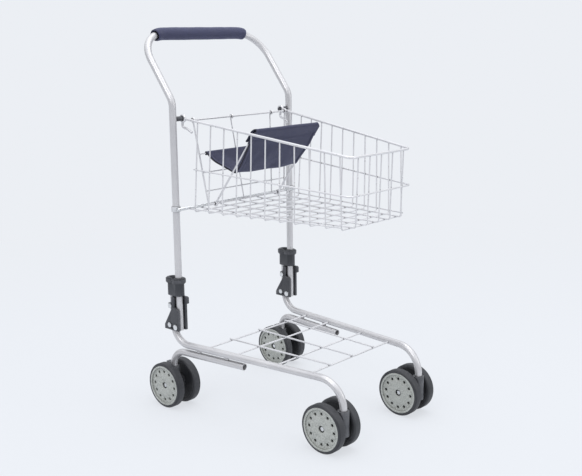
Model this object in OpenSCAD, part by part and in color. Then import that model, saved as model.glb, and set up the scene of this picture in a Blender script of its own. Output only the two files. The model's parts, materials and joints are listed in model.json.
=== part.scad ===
// Child's folding toy shopping cart: bent tube frame, wire basket with a doll seat, twin wheels.
// Millimetres. +X is the way the cart is pushed, +Y its left side, +Z up, floor at Z = 0.

/* [Frame tube] */
// Outside diameter of the frame tubes
tube_d = 11; // [10:0.5:12]
// Wall of the frame tubes
tube_wall = 1; // [0.8:0.1:1.5]
// Distance between the two uprights, axis to axis
upright_gap = 261; // [255:1:290]

/* [Handle] */
// Height of the push bar's axis above the floor
bar_height = 594; // [585:1:630]
// How far the push bar lies behind the uprights
bar_back = 76; // [65:1:95]
// Height at which the uprights turn back towards the push bar
lean_height = 493; // [485:1:500]
// Bend radius where the uprights turn back
lean_bend = 26; // [22:1:40]
// Bend radius of the push bar's two corners
bar_bend = 50; // [40:1:54]
// Outside diameter of the soft grip cover
grip_d = 20; // [17:0.5:24]
// How far the grip cover reaches into each corner bend, in degrees
grip_turn = 21; // [8:1:28]

/* [Base] */
// Height of the base tubes' axis
base_height = 107; // [104:1:108]
// Front casters' swivel axis ahead of the uprights
stem_ahead = 306; // [296:1:330]
// Distance between the two swivel axes
stem_gap = 186; // [180:1:200]
// Bend radius at the rear of each base tube
base_bend = 30; // [24:1:30]
// Bend radius above each caster
stem_bend = 40; // [30:1:40]
// Drop from a base tube's axis to the axis of the leg tube below it
leg_drop = 14.5; // [13:0.5:16]
// Front end of the leg tubes, ahead of the uprights
leg_ahead = 125; // [110:1:150]
// Rear wheels' axle behind the uprights
axle_back = 21; // [18:1:26]
// Bend radius of the leg tubes
leg_bend = 25; // [22:1:26]
// Length of each weld pad between a leg and its base tube
weld_length = 8; // [5:1:12]

/* [Shelf] */
// Diameter of the shelf wires
shelf_wire_d = 2.6; // [2.4:0.2:4]
// First cross wire, ahead of the uprights
shelf_rear = 49; // [40:1:60]
// Last cross wire, ahead of the uprights
shelf_front = 245; // [225:1:255]

/* [Fold joint] */
// Height of the folding pivots
pivot_height = 137; // [135:1:142]
// Length of the upright below its pivot
foot_drop = 6; // [5:0.5:7]
// Thickness of each plastic cheek
cheek_t = 4; // [3:0.5:5]
// Height of the lock sleeve's lower edge
sleeve_base = 188; // [188:1:196]
// Length of the lock sleeve
sleeve_h = 29; // [26:1:40]
// Wall of the lock sleeve
sleeve_wall = 3; // [2:0.5:4]
// Shank diameter of the rivets that hold the cheeks
rivet_d = 4; // [3:0.5:4.5]

/* [Wheels] */
// Outside diameter of a wheel
wheel_d = 74; // [70:1:80]
// Width of one wheel of a pair
wheel_w = 14.5; // [13:0.5:16]
// Gap between the two wheels of a pair
twin_gap = 19.6; // [18.4:0.2:22]
// Outside diameter of a wheel disc
disc_d = 65; // [58:1:66]
// Number of small holes in a wheel disc
disc_holes = 12; // [8:1:16]
// Diameter of the small holes
disc_hole_d = 4.8; // [2:0.2:5]
// Diameter of the axles
axle_d = 5; // [4:0.5:6]
// How far a caster's axle trails behind its swivel axis
trail = 23; // [20:1:28]
// Outside diameter of the tube sockets in the wheel housings
socket_d = 17.2; // [16.5:0.1:17.2]
// Height of the sockets' upper edge
socket_top = 65; // [62:1:66]

/* [Basket] */
// Diameter of the top rim wire
rim_d = 4; // [3.5:0.5:5]
// Diameter of the cage wires
cage_d = 2.1; // [2:0.1:2.6]
// Diameter of the ring wire half way up
ring_d = 2.6; // [2.4:0.2:3.4]
// Height of the basket's pivot pins
pin_height = 466.5; // [460:0.5:475]
// Diameter of the pivot pins
pin_d = 5; // [4:0.5:6]
// Length of the basket ahead of the pivot pins
basket_length = 299; // [285:1:310]
// Width of the rim at the pivot pins
basket_rear_w = 221; // [215:1:224]
// Width of the rim at the front
basket_front_w = 138; // [130:1:160]
// Slope of the rim down to the front, in degrees
rim_slope = 7.9; // [5:0.1:10]
// Height of the floor wires' axis
floor_height = 322; // [315:1:324]
// Number of cage wires that run down one side and up the other
cross_count = 11; // [8:1:13]
// Number of cage wires that run down the front and back along the floor
long_count = 5; // [3:2:7]
// Diameter of the rear rod that rests against the uprights
rod_d = 5; // [4:0.5:6]

/* [Gate and seat] */
// Diameter of the wire that the gate hangs from
hinge_wire_d = 3; // [3:0.5:4]
// Diameter of the gate's frame wire
gate_wire_d = 2.6; // [2.4:0.2:3.2]
// Diameter of the gate's inner wires
gate_thin_d = 2; // [1.8:0.2:2.4]
// Length of the gate below its hinge wire
gate_h = 134; // [126:1:136]
// Room between the gate's side wires and the rim
gate_room = 1.4; // [1:0.1:8]
// Width of the gate at its lower wire
gate_low_w = 174; // [165:1:185]
// Lean of the gate, lower wire forward, in degrees
gate_lean = 5.2; // [4:0.1:8]
// Depth of the seat's front rail below the hinge wire
seat_rail_drop = 53; // [45:1:60]
// Diameter of the seat's backrest wire
back_wire_d = 3; // [2.5:0.5:3.5]
// Length of the backrest wire above the gate's lower wire
back_h = 149; // [140:1:155]
// Width of the backrest wire at its hooks
back_low_w = 144; // [136:1:150]
// Width of the backrest wire at its top
back_top_w = 140; // [130:1:143]
// Forward lean of the backrest, in degrees
back_lean = 36.7; // [30:0.1:40]
// Thickness of the seat fabric
cloth_t = 1.2; // [0.8:0.1:1.6]
// Width of the seat fabric at its front hem
cloth_front_w = 170; // [150:1:174]
// Width of the seat fabric at its fold
cloth_fold_w = 142; // [130:1:144]
// Width of the seat fabric between the legs of the backrest
cloth_back_w = 133; // [110:1:134]
// Depth of the pocket over the top of the backrest
pocket_h = 22; // [16:1:30]

/* [Hidden] */
$fn = 48;

// Clearances: pieces that touch without moving, running fits, and moving pieces that only pass
touch = 0.04;
running = 0.08;
pass = 0.3;
// A cut runs this far past the face that it opens
over = 1;
// A bend laps this far over the bar that it joins, or this share of its bend radius if less, and
// it is thicker by the swell
lap = 0.3;
lap_share = 0.05;
swell = 0.02;
// The eye at the end of a wire is a little thicker than the wire
eye_swell = 0.1;

// Radii of the round stock
tube_r = tube_d / 2;
rim_r = rim_d / 2;
cage_r = cage_d / 2;
ring_r = ring_d / 2;
rod_r = rod_d / 2;
hinge_wire_r = hinge_wire_d / 2;
gate_r = gate_wire_d / 2;
gate_thin_r = gate_thin_d / 2;
back_r = back_wire_d / 2;
shelf_r = shelf_wire_d / 2;
wheel_r = wheel_d / 2;
axle_r = axle_d / 2;
pin_r = pin_d / 2;
side_y = upright_gap / 2;

// The base tube stands behind the upright, clear of the upright's foot as it swings
foot_reach = sqrt(tube_r * tube_r + foot_drop * foot_drop);
tube_step = foot_reach + pass + tube_r;

// The part's origin lies on the floor under the middle of its length
grip_rear = bar_back + grip_d / 2;
wheel_front = stem_ahead - trail + wheel_r;
centre_x = (wheel_front - grip_rear) / 2;

// Half the distance between the base tubes at a place along the cart
base_taper = (side_y - stem_gap / 2) / (stem_ahead + tube_step);
function base_y(x) = side_y - base_taper * (x + tube_step);

// Colours
silver = [0.83, 0.84, 0.85];
steel = [0.66, 0.67, 0.68];
black = [0.16, 0.17, 0.18];
grey = [0.32, 0.33, 0.35];
disc_grey = [0.66, 0.68, 0.66];
navy = [0.12, 0.13, 0.25];
pale = [0.9, 0.9, 0.9];

// Places a piece, drawn with X = 0 at the uprights, in the part's own frame
module in_place() {
    translate([-centre_x, 0, 0]) children();
}

// A piece drawn for the right side, or its mirror image for the left
module on_side(side) {
    mirror([0, side == "left" ? 1 : 0, 0]) children();
}

function unit(v) = v / norm(v);
function ahead_at(path, i) = unit(path[i + 1] - path[i]);
function turn_at(path, i) = acos(ahead_at(path, i - 1) * ahead_at(path, i));
function inward_at(path, i) =
    let (before = ahead_at(path, i - 1), after = ahead_at(path, i))
    unit(after - before * (before * after));

// Straight round bar from one point to another
module bar(from, to, d) {
    run = to - from;
    translate(from)
        rotate([0, acos(run.z / norm(run)), atan2(run.y, run.x)])
            cylinder(d = d, h = norm(run));
}

// Bend in round bar, from the point where it begins. It laps a little over the straight bar at
// each end and is a hair thicker, so that bar and bend always join as one piece.
module bend(start, ahead, inward, radius, turn, d) {
    side = cross(-inward, ahead);
    centre = start + inward * radius;
    lap_turn = min(lap / radius, lap_share) * 180 / PI;
    multmatrix([
        [-inward.x, ahead.x, side.x, centre.x],
        [-inward.y, ahead.y, side.y, centre.y],
        [-inward.z, ahead.z, side.z, centre.z],
        [0, 0, 0, 1]
    ])
        rotate([0, 0, -lap_turn])
            rotate_extrude(angle = turn + 2 * lap_turn)
                translate([radius, 0])
                    circle(d = d + 2 * swell);
}

// Round bar bent at each inner point of a path, with one bend radius for each of those points
module bent_bar(path, radii, d) {
    last = len(path) - 1;
    cut = [
        for (i = [0 : last])
            i == 0 || i == last ? 0 : radii[i - 1] * tan(turn_at(path, i) / 2)
    ];
    for (i = [0 : last - 1]) {
        ahead = ahead_at(path, i);
        from = path[i] + ahead * cut[i];
        to = path[i + 1] - ahead * cut[i + 1];
        if ((to - from) * ahead > touch)
            bar(from, to, d);
    }
    for (i = [1 : last - 1]) {
        before = ahead_at(path, i - 1);
        bend(path[i] - before * cut[i], before, inward_at(path, i), radii[i - 1], turn_at(path, i), d);
    }
}

// Tube bent along a path, open at both ends
module bent_tube(path, radii) {
    last = len(path) - 1;
    longer = [
        for (i = [0 : last])
            i == 0 ? path[0] - ahead_at(path, 0) * over
            : i == last ? path[last] + ahead_at(path, last - 1) * over
            : path[i]
    ];
    difference() {
        bent_bar(path, radii, tube_d);
        bent_bar(longer, radii, tube_d - 2 * tube_wall);
    }
}

// Cross hole or shank along Y through a point
module cross_bar(at, d, half) {
    translate([at.x, at.y - half, at.z])
        rotate([-90, 0, 0])
            cylinder(d = d, h = 2 * half);
}

// Fold joint
cheek_low = pivot_height - foot_drop;
cheek_in = tube_r + pass;
cheek_out = cheek_in + cheek_t;
rivet_head_extra = 4;
rivet_head_h = 1.2;
pivot_d = rivet_d + 1;
rivet_low = pivot_height + 2;
rivet_ahead = 2.5;
cheek_top = sleeve_base - 2;
rivet_high = cheek_top - 15;
pivot_at = [0, -side_y, pivot_height];
rivet_places = [
    [-tube_step, -side_y, rivet_low],
    [-tube_step + rivet_ahead, -side_y, rivet_high]
];

// Base
socket_depth = 30;
socket_floor = 4;
base_path = [
    [-tube_step, -side_y, sleeve_base - pass],
    [-tube_step, -side_y, base_height],
    [stem_ahead, -stem_gap / 2, base_height],
    [stem_ahead, -stem_gap / 2, socket_top - socket_depth]
];

module base_tube(side) {
    color(silver)
        in_place()
            on_side(side)
                difference() {
                    bent_tube(base_path, [base_bend, stem_bend]);
                    for (at = rivet_places)
                        cross_bar(at, rivet_d + 2 * touch, tube_d);
                }
}

// Legs run under the base tubes, a little further in
leg_height = base_height - leg_drop;
leg_in = 3;
leg_socket_depth = 13;
function leg_y(x) = base_y(x) - leg_in;
leg_path = [
    [leg_ahead, -leg_y(leg_ahead), leg_height],
    [-axle_back, -leg_y(-axle_back), leg_height],
    [-axle_back, -leg_y(-axle_back), socket_top - leg_socket_depth]
];

module leg_tube(side) {
    color(silver)
        in_place()
            on_side(side)
                bent_tube(leg_path, [leg_bend]);
}

// Weld pads sit on each leg tube, near its crest, and carry the base tube
weld_places = [leg_ahead * 0.28, leg_ahead * 0.73];
weld_w = 2;
weld_crest = sqrt(tube_r * tube_r - pow((leg_in - weld_w) / 2, 2));

module leg_weld_pads() {
    color(silver)
        in_place()
            for (side = ["right", "left"], x = weld_places)
                on_side(side)
                    translate([x, -base_y(x) + leg_in / 2, leg_height + weld_crest + touch])
                        rotate([0, 0, atan(base_taper)])
                            translate([-weld_length / 2, -weld_w / 2, 0])
                                cube([weld_length, weld_w, leg_drop - 2 * (weld_crest + touch)]);
}

// Shelf: cross wires between the base tubes and long wires lying on them
shelf_pitch = (shelf_front - shelf_rear) / 3.5;
shelf_places = [
    shelf_rear,
    shelf_rear + shelf_pitch,
    shelf_front - shelf_pitch * 1.1,
    shelf_front
];
shelf_spread = 0.53;

module shelf_cross_wires() {
    color(silver)
        in_place()
            for (x = shelf_places) {
                half = base_y(x) - (tube_r + touch) / cos(atan(base_taper)) - shelf_r * base_taper;
                bar([x, -half, base_height], [x, half, base_height], shelf_wire_d);
            }
}

module shelf_long_wires() {
    height = base_height + shelf_wire_d + touch;
    rear = shelf_rear - shelf_wire_d;
    front = shelf_front + shelf_wire_d;
    color(silver)
        in_place()
            for (share = [-shelf_spread, 0, shelf_spread])
                bar([rear, share * base_y(rear), height], [front, share * base_y(front), height],
                    shelf_wire_d);
}

// Side view of a cheek: upright front edge, sloping rear edge, both rivets and the pivot inside.
// One narrows to a neck with a lug for the upper rivet, the other has an ear at its top.
cheek_front = tube_r + 1.5;
cheek_rear = tube_step + tube_r + 7;
cheek_top_rear = tube_step + tube_r - 1;
cheek_rear_h = 16;
ear = 5;
ear_h = 13;
shoulder = pivot_height + 28;
neck = [3.5, 9];
lug = 4.5;
lug_at = [-tube_step + rivet_ahead, rivet_high];
lug_cheek = [
    [cheek_front, cheek_low],
    [cheek_front, shoulder],
    [-neck[0], shoulder + 4],
    [-neck[0], cheek_top],
    [-neck[1], cheek_top],
    [-neck[1], lug_at.y + lug],
    lug_at + [-lug, lug],
    lug_at + [-lug, -lug],
    [-neck[1], lug_at.y - lug],
    [3 - cheek_rear, cheek_low + 12],
    [-cheek_rear, cheek_low + 7],
    [-cheek_rear, cheek_low]
];
ear_cheek = [
    [cheek_front, cheek_low],
    [cheek_front, cheek_top - ear_h],
    [cheek_front + ear, cheek_top - ear_h + 2],
    [cheek_front + ear, cheek_top - 1.5],
    [cheek_front + ear - 1.5, cheek_top],
    [-cheek_top_rear, cheek_top],
    [-cheek_rear, cheek_low + cheek_rear_h],
    [-cheek_rear, cheek_low]
];

module cheek(outline) {
    rotate([90, 0, 0])
        linear_extrude(height = cheek_t)
            difference() {
                polygon(outline);
                for (at = rivet_places)
                    translate([at.x, at.z])
                        circle(d = rivet_d + 2 * touch);
                translate([pivot_at.x, pivot_at.z])
                    circle(d = pivot_d + 2 * touch);
            }
}

// Both fold joints are alike, each with its lug to the right
module hinge_cheeks(side) {
    y = side == "left" ? side_y : -side_y;
    color(black)
        in_place() {
            translate([0, y - cheek_in, 0])
                cheek(lug_cheek);
            translate([0, y + cheek_out, 0])
                cheek(ear_cheek);
        }
}

// Shank along Y with a flat head outside each cheek
module rivet(at, d) {
    cross_bar(at, d, cheek_out + touch);
    for (y = [-cheek_out - touch - rivet_head_h / 2, cheek_out + touch + rivet_head_h / 2])
        cross_bar([at.x, at.y + y, at.z], d + rivet_head_extra, rivet_head_h / 2);
}

module cheek_rivets() {
    color(steel)
        in_place()
            for (side = ["right", "left"], at = rivet_places)
                on_side(side)
                    rivet(at, rivet_d);
}

module fold_pivots() {
    color(steel)
        in_place()
            for (side = ["right", "left"])
                on_side(side)
                    rivet(pivot_at, pivot_d);
}

// Handle: one tube from foot to foot, with the grip cover round its push bar
foot_height = pivot_height - foot_drop;
handle_path = [
    [0, -side_y, foot_height],
    [0, -side_y, lean_height],
    [-bar_back, -side_y, bar_height],
    [-bar_back, side_y, bar_height],
    [0, side_y, lean_height],
    [0, side_y, foot_height]
];
pin_hole = [0, -side_y, pin_height];

module handle_tube() {
    color(silver)
        in_place()
            difference() {
                bent_tube(handle_path, [lean_bend, bar_bend, bar_bend, lean_bend]);
                for (side = ["right", "left"])
                    on_side(side) {
                        cross_bar(pivot_at, pivot_d + 2 * running, tube_d);
                        bar(pin_hole, pin_hole + [0, tube_d, 0], pin_d + 2 * touch);
                    }
            }
}

// The push bar between its corners, and the start of each corner bend, where the cover is a little wider
grip_flare = 0.2;

module along_grip(d, turn) {
    half = side_y - bar_bend;
    lean = unit(handle_path[1] - handle_path[2]);
    bar([-bar_back, -half, bar_height], [-bar_back, half, bar_height], d);
    for (way = [-1, 1])
        bend([-bar_back, way * half, bar_height], [0, way, 0], lean, bar_bend, turn, d + grip_flare);
}

module grip_cover() {
    color(navy)
        in_place()
            difference() {
                along_grip(grip_d, grip_turn);
                along_grip(tube_d + 2 * touch, grip_turn + over);
            }
}

// Basket pivot pins: set in the uprights' inner walls, each with a bush up to the eye of the rim
rim_taper = (basket_rear_w - basket_front_w) / 2 / basket_length;
function rim_y(x) = basket_rear_w / 2 - rim_taper * x;
eye_half = rim_r + eye_swell + pass;
pin_head_h = 1.2;
pin_head_d = pin_d + 1.6;
bush_d = pin_d + 2.5;

module basket_pins() {
    head = -rim_y(0) + eye_half;
    color(black)
        in_place()
            for (side = ["right", "left"])
                on_side(side) {
                    bar(pin_hole, [0, head + pin_head_h / 2, pin_height], pin_d);
                    bar([0, head, pin_height], [0, head + pin_head_h, pin_height], pin_head_d);
                    bar([0, -side_y + tube_r + touch, pin_height],
                        [0, -rim_y(0) - eye_half, pin_height], bush_d);
                }
}

// Basket heights and places
eye_r = pin_r + pass + rim_r;
function rim_height(x) = pin_height - x * tan(rim_slope);
long_height = floor_height + cage_d + touch;
rod_height = long_height + cage_r + rod_r + touch;
collar_wall = 2;
collar_h = 8;
rod_ahead = tube_r + rod_r + 1;

// Collars on the uprights, each with a groove for the basket's rear rod, open to the front
module rod_collars() {
    color(pale)
        in_place()
            for (side = ["right", "left"])
                on_side(side)
                    difference() {
                        translate([0, -side_y, rod_height - collar_h / 2])
                            cylinder(r = tube_r + collar_wall, h = collar_h);
                        translate([0, -side_y, rod_height - collar_h])
                            cylinder(r = tube_r + touch, h = 2 * collar_h);
                        cross_bar([rod_ahead, -side_y, rod_height], rod_d + 2 * pass, tube_d);
                    }
}

// Lock sleeve: a double barrel round the upright and the place of the base tube behind it
sleeve_r = tube_r + running + sleeve_wall;
// Steps of the rim round each barrel: from, to, both below the top, and how far each stands out
sleeve_rim = [[9, 0.6, 1.5], [7.6, 1.8, 2.8]];
// Notch across the sleeve's top, between its barrels
notch_w = 11;
notch_floor = 3;
notch_h = 4;

module two_rounds(r) {
    circle(r = r);
    translate([-tube_step, 0])
        circle(r = r);
}

module sleeve_notch() {
    translate([-tube_step / 2, 2 * sleeve_r, 0])
        rotate([90, 0, 0])
            linear_extrude(height = 4 * sleeve_r)
                polygon([
                    [-notch_floor / 2, sleeve_h - notch_h],
                    [notch_floor / 2, sleeve_h - notch_h],
                    [notch_w / 2, sleeve_h + over],
                    [-notch_w / 2, sleeve_h + over]
                ]);
}

module lock_sleeve(side) {
    color(black)
        in_place()
            on_side(side)
                translate([0, -side_y, sleeve_base])
                    difference() {
                        union() {
                            linear_extrude(height = sleeve_h) {
                                two_rounds(sleeve_r);
                                translate([-tube_step, -sleeve_r])
                                    square([tube_step, 2 * sleeve_r]);
                            }
                            for (ring = sleeve_rim)
                                translate([0, 0, sleeve_h - ring[0]])
                                    linear_extrude(height = ring[0] - ring[1])
                                        two_rounds(sleeve_r + ring[2]);
                        }
                        sleeve_notch();
                        translate([0, 0, -over])
                            linear_extrude(height = sleeve_h + 2 * over)
                                two_rounds(tube_r + running);
                    }
}

// Rim: one wire from eye to eye, drawn in its sloping plane, with a bent tail below each eye
rim_corner = 10;
rim_run = basket_length / cos(rim_slope);
rim_turn = atan(rim_taper);

// Point of the right side's rim wire: along the wire from the pin, and above the pin
function rim_point(along, above) = [
    along * cos(rim_turn),
    -basket_rear_w / 2 + along * sin(rim_turn),
    above
];
rim_start = rim_point(eye_r, 0);
rim_path = [
    rim_start,
    [rim_run, -basket_front_w / 2, 0],
    [rim_run, basket_front_w / 2, 0],
    [rim_start.x, -rim_start.y, 0]
];
tail_path = [
    rim_point(0, -eye_r),
    rim_point(0, -14),
    rim_point(9, -14),
    rim_point(20, -18.5)
];
tail_bends = [5, 12];

module basket_rim() {
    color(silver)
        in_place()
            translate([0, 0, pin_height])
                rotate([0, rim_slope, 0]) {
                    bent_bar(rim_path, [rim_corner, rim_corner], rim_d);
                    for (side = ["right", "left"])
                        on_side(side) {
                            wire_eye(rim_point(0, 0), rim_d, 2 * eye_r - rim_d);
                            bent_bar(tail_path, tail_bends, rim_d);
                        }
                }
}

// Cage wires down the sides and across the floor; they fan out a little towards the floor
cross_top_rear = 29;
cross_top_front = basket_length - 18;
cross_low_rear = 19;
cross_low_front = basket_length - 15;
cage_bend = 3;
function spread(from, to, i, count) = from + (to - from) * i / (count - 1);

module basket_cross_wires() {
    color(silver)
        in_place()
            for (i = [0 : cross_count - 1]) {
                top_x = spread(cross_top_rear, cross_top_front, i, cross_count);
                low_x = spread(cross_low_rear, cross_low_front, i, cross_count);
                top = rim_height(top_x) - rim_r / cos(rim_slope) - touch - cage_r * tan(rim_slope);
                bent_bar(
                    [
                        [top_x, -rim_y(top_x), top],
                        [low_x, -rim_y(low_x), floor_height],
                        [low_x, rim_y(low_x), floor_height],
                        [top_x, rim_y(top_x), top]
                    ],
                    [cage_bend, cage_bend],
                    cage_d
                );
            }
}

// Cage wires down the front and back along the floor, on top of the cross wires
front_low = basket_length - 4;
long_share = 0.77;

module basket_long_wires() {
    top = rim_height(basket_length) - rim_r / cos(rim_slope) - touch - cage_r * tan(rim_slope);
    color(silver)
        in_place()
            for (i = [0 : long_count - 1]) {
                share = spread(-long_share, long_share, i, long_count);
                bent_bar(
                    [
                        [basket_length, share * rim_y(basket_length), top],
                        [front_low, share * rim_y(front_low), long_height],
                        [rod_ahead - rod_r, share * rim_y(rod_ahead), long_height]
                    ],
                    [cage_bend],
                    cage_d
                );
            }
}

// Ring half way up, outside the cage wires
ring_rear = cross_top_rear - 8;
ring_rear_height = 389;
ring_front_height = 370.5;
ring_out = cage_r + ring_r + touch;
ring_front = basket_length - 2 + ring_out;
ring_corner = 8;

module basket_ring() {
    rear_y = rim_y(ring_rear) + ring_out;
    front_y = rim_y(ring_front) + ring_out;
    color(silver)
        in_place()
            bent_bar(
                [
                    [ring_rear, -rear_y, ring_rear_height],
                    [ring_front, -front_y, ring_front_height],
                    [ring_front, front_y, ring_front_height],
                    [ring_rear, rear_y, ring_rear_height]
                ],
                [ring_corner, ring_corner],
                ring_d
            );
}

// Straight wires along the two lower edges, outside the cage wires
edge_height = floor_height + cage_bend + cage_r;

module basket_edge_wires() {
    rear = rod_ahead + rod_r + touch;
    front = cross_low_front + cage_r;
    color(silver)
        in_place()
            for (side = ["right", "left"])
                on_side(side)
                    bar(
                        [rear, -rim_y(rear) - cage_d - touch, edge_height],
                        [front, -rim_y(front) - cage_d - touch, edge_height],
                        cage_d
                    );
}

// Wire across the rear of the rim, which the gate hangs from
hinge_ahead = 15.4;
hinge_height = rim_height(hinge_ahead);

module basket_hinge_wire() {
    half = rim_y(hinge_ahead) - (rim_r + touch) / cos(rim_turn) - hinge_wire_r * rim_taper;
    color(silver)
        in_place()
            bar([hinge_ahead, -half, hinge_height], [hinge_ahead, half, hinge_height], hinge_wire_d);
}

// Thick rod across the rear of the floor
rod_past = 5;

module basket_rod() {
    color(steel)
        in_place()
            bar([rod_ahead, -side_y - rod_past, rod_height], [rod_ahead, side_y + rod_past, rod_height],
                rod_d);
}

// The gate is drawn hanging straight down from its hinge wire, then leans
module in_gate() {
    in_place()
        translate([hinge_ahead, 0, hinge_height])
            rotate([0, -gate_lean, 0])
                children();
}

// Half width of the gate at a depth below its hinge wire
gate_top_w = 2 * (rim_y(hinge_ahead) - rim_r - gate_r - gate_room);
function gate_y(depth) = (gate_top_w + (gate_low_w - gate_top_w) * depth / gate_h) / 2;

// Ring of wire round a cross wire that lies along Y
module wire_eye(at, wire_d, hole_d) {
    translate(at)
        rotate([90, 0, 0])
            rotate_extrude()
                translate([(hole_d + wire_d) / 2, 0])
                    circle(d = wire_d + 2 * eye_swell);
}

gate_eye_hole = hinge_wire_d + 2 * pass;
gate_eye_r = (gate_eye_hole + gate_wire_d) / 2;
gate_bend = 6;

module gate_frame() {
    color(silver)
        in_gate() {
            bent_bar(
                [
                    [0, -gate_y(gate_eye_r), -gate_eye_r],
                    [0, -gate_y(gate_h), -gate_h],
                    [0, gate_y(gate_h), -gate_h],
                    [0, gate_y(gate_eye_r), -gate_eye_r]
                ],
                [gate_bend, gate_bend],
                gate_wire_d
            );
            for (y = [-gate_y(gate_eye_r), gate_y(gate_eye_r)])
                wire_eye([0, y, 0], gate_wire_d, gate_eye_hole);
        }
}

// Gate uprights hang from the back of their eyes and stand behind the lower wire
upright_tops = [-0.205, 0.68];
upright_feet = [-0.07, 0.68];
upright_back = max((gate_eye_hole + gate_thin_d) / 2, gate_r + gate_thin_r + touch);
upright_low = gate_h + gate_r;

module gate_uprights() {
    eye_hole = 2 * upright_back - gate_thin_d;
    color(silver)
        in_gate()
            for (i = [0, 1]) {
                top_y = upright_tops[i] * gate_y(0);
                foot_y = upright_feet[i] * gate_y(gate_h);
                wire_eye([0, top_y, 0], gate_thin_d, eye_hole);
                bar([-upright_back, top_y, 0], [-upright_back, foot_y, -upright_low], gate_thin_d);
            }
}

// Two cross wires between the gate's side wires, and the seat's rail in front of them
cross_depths = [gate_h * 0.617, gate_h * 0.836];
cross_back = upright_back - gate_thin_d - touch;
seat_rail_ahead = gate_r + gate_thin_r + touch;

module gate_cross_wires() {
    gate_slant = atan((gate_top_w - gate_low_w) / 2 / gate_h);
    color(silver)
        in_gate() {
            for (depth = cross_depths) {
                half = gate_y(depth) - (gate_r + touch) / cos(gate_slant) - gate_thin_r * tan(gate_slant);
                bar([-cross_back, -half, -depth], [-cross_back, half, -depth], gate_thin_d);
            }
            rail_half = gate_y(seat_rail_drop) + gate_r;
            bar([seat_rail_ahead, -rail_half, -seat_rail_drop],
                [seat_rail_ahead, rail_half, -seat_rail_drop], gate_thin_d);
        }
}

// Side view places of the gate's lower wire, the seat rail and the top of the backrest
function from_gate(ahead, drop) = [
    hinge_ahead + ahead * cos(gate_lean) + drop * sin(gate_lean),
    hinge_height + ahead * sin(gate_lean) - drop * cos(gate_lean)
];
gate_low_at = from_gate(0, gate_h);
rail_at = from_gate(seat_rail_ahead, seat_rail_drop);
back_top_at = gate_low_at + back_h * [sin(back_lean), cos(back_lean)];

// Backrest: a bent wire with an eye at each foot round the gate's lower wire
back_bend = 8;
back_eye_hole = gate_wire_d + 2 * pass;
back_eye_r = (back_eye_hole + back_wire_d) / 2;

// The backrest is drawn standing up from the gate's lower wire, then leans forward
module in_back() {
    in_place()
        translate([gate_low_at.x, 0, gate_low_at.y])
            rotate([0, back_lean, 0])
                children();
}

module seat_back_wire() {
    color(silver)
        in_back() {
            bent_bar(
                [
                    [0, -back_low_w / 2, back_eye_r],
                    [0, -back_top_w / 2, back_h],
                    [0, back_top_w / 2, back_h],
                    [0, back_low_w / 2, back_eye_r]
                ],
                [back_bend, back_bend],
                back_wire_d
            );
            for (y = [-back_low_w / 2, back_low_w / 2])
                wire_eye([0, y, 0], back_wire_d, back_eye_hole);
        }
}

// Seat fabric: a sling hemmed round the seat rail, with a pocket over the top of the backrest
hem_room = 0.7;
hem_r = gate_thin_r + hem_room + cloth_t / 2;
fold_at = rail_at + [41, -27];
fold_r = 6;
hem_open = 75;
arc_steps = 12;

// Points of an arc round a centre, between two angles
function arc(centre, r, from, to) = [
    for (i = [0 : arc_steps])
        let (angle = from + (to - from) * i / arc_steps)
        centre + r * [cos(angle), sin(angle)]
];

// Heading of a line between two points of the side view
function heading(from, to) = atan2(to.y - from.y, to.x - from.x);

// Hanging line between two points, with its sag at the middle
function hanging(from, to, sag) = [
    for (i = [1 : arc_steps - 1])
        let (share = i / arc_steps)
        from + (to - from) * share - [0, 4 * sag * share * (1 - share)]
];

pan_way = heading(rail_at, fold_at);
pan_sag = 5;
rail_leave = rail_at + hem_r * [cos(pan_way + 90), sin(pan_way + 90)];
fold_centre = fold_at + [0, fold_r];
fold_enter = fold_centre + fold_r * [cos(pan_way - 90), sin(pan_way - 90)];

// The back of the sling runs up between the legs and ends inside the pocket
pocket_lap = 8;
pocket_wall = 1.4;
pocket_room = back_r + pass;
pocket_low = back_h - pocket_h;
back_end = gate_low_at + (pocket_low + pocket_lap) * [sin(back_lean), cos(back_lean)]
    + (pocket_room + pocket_wall / 2) * [cos(back_lean), -sin(back_lean)];
back_way = heading(fold_at, back_end);
cloth_line = concat(
    arc(rail_at, hem_r, pan_way + 90 + 360 - hem_open, pan_way + 90),
    hanging(rail_leave, fold_enter, pan_sag),
    arc(fold_centre, fold_r, pan_way - 90, back_way - 90),
    [back_end]
);

// Pocket: cloth folded over the top of the backrest wire, its upper corners cut off
pocket_side = back_top_w / 2 + back_r + 2.7;
pocket_top = back_h + pocket_room + pocket_wall;
pocket_corner = 8.5;

module pocket() {
    outline = [
        [-pocket_side, pocket_low],
        [pocket_side, pocket_low],
        [pocket_side, pocket_top - pocket_corner],
        [pocket_side - pocket_corner, pocket_top],
        [-pocket_side + pocket_corner, pocket_top],
        [-pocket_side, pocket_top - pocket_corner]
    ];
    difference() {
        translate([-pocket_room - pocket_wall, 0, 0])
            rotate([90, 0, 90])
                linear_extrude(height = 2 * (pocket_room + pocket_wall))
                    polygon(outline);
        translate([-pocket_room, -pocket_side - over, pocket_low - over])
            cube([2 * pocket_room, 2 * (pocket_side + over), pocket_h + over + pocket_room]);
    }
}

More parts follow.
